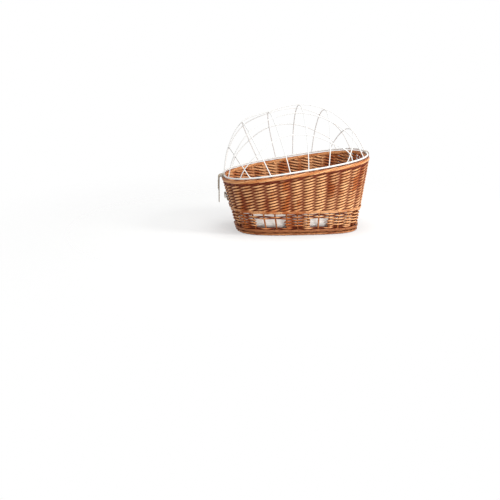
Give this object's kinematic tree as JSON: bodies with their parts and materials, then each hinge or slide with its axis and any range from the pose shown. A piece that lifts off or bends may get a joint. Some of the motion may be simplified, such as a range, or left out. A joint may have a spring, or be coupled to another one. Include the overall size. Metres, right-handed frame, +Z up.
{
  "type": "dog bicycle basket",
  "caption": "Woven oval dog basket with a rim that rises to the rear, low windows, a cushion, and a hinged wire dome closed by a leather strap and buckle.",
  "frame": {"origin": "on the ground under the middle of the whole basket's bounding box", "axes": "+X towards the rear, where the rim is highest and the dome is hinged; +Y towards the right-hand side; +Z up"},
  "size_m": [0.558, 0.383, 0.4606],
  "materials": {
    "willow": "peeled, boiled willow with a thin satin varnish",
    "white_coating": "steel wire under a smooth white satin coating",
    "leather": "natural greyish beige strap leather, matt, cut edges",
    "nickel": "bright nickel-plated steel wire",
    "cushion_cloth": "off-white woven cotton cover, matt"
  },
  "bodies": {
    "basket": {"foot_border": "willow", "bottom_wale": "willow", "panel_front": "willow", "panel_rear": "willow", "panel_left": "willow", "panel_right": "willow", "belt_wale": "willow", "upper_weave": "willow", "rim_border": "willow", "stake_01": "willow", "stake_02": "willow", "stake_03": "willow", "stake_04": "willow", "stake_05": "willow", "stake_06": "willow", "stake_07": "willow", "stake_08": "willow", "stake_09": "willow", "stake_10": "willow", "stake_11": "willow", "stake_12": "willow", "stake_13": "willow", "stake_14": "willow", "stake_15": "willow", "stake_16": "willow", "stake_17": "willow", "stake_18": "willow", "stake_19": "willow", "stake_20": "willow", "stake_21": "willow", "stake_22": "willow", "stake_23": "willow", "stake_24": "willow", "stake_25": "willow", "stake_26": "willow", "stake_27": "willow", "stake_28": "willow", "stake_29": "willow", "stake_30": "willow", "stake_31": "willow", "stake_32": "willow", "floor": "willow", "cushion": "cushion_cloth", "hinge_strap": "leather", "buckle_tab": "leather"},
    "dome": {"cage_ring": "white_coating", "hoop_1": "white_coating", "hoop_2": "white_coating", "hoop_3": "white_coating", "hoop_4": "white_coating", "hoop_5": "white_coating", "hoop_6": "white_coating", "arc_1": "white_coating", "arc_2": "white_coating", "arc_3": "white_coating", "arc_4": "white_coating", "arc_5": "white_coating"},
    "strap": {"closing_strap": "leather"},
    "buckle": {"buckle_frame": "nickel"},
    "prong": {"buckle_prong": "nickel"}
  },
  "joints": [
    {"name": "dome_hinge", "type": "hinge", "parent": "basket", "child": "dome", "pos_m": [0.26635, 0, 0.28148], "axis": [0, 1, 0], "range_deg": [0, 110]},
    {"name": "strap_swing", "type": "hinge", "parent": "dome", "child": "strap", "pos_m": [-0.25765, 0, 0.20385], "axis": [0, 1, 0], "range_deg": [0, 90]},
    {"name": "buckle_swing", "type": "hinge", "parent": "basket", "child": "buckle", "pos_m": [-0.25315, 0, 0.13619], "axis": [0, 1, 0], "range_deg": [0, 90]},
    {"name": "prong_swing", "type": "hinge", "parent": "buckle", "child": "prong", "pos_m": [-0.25315, 0, 0.13619], "axis": [0, 1, 0], "range_deg": [0, 60]}
  ]
}
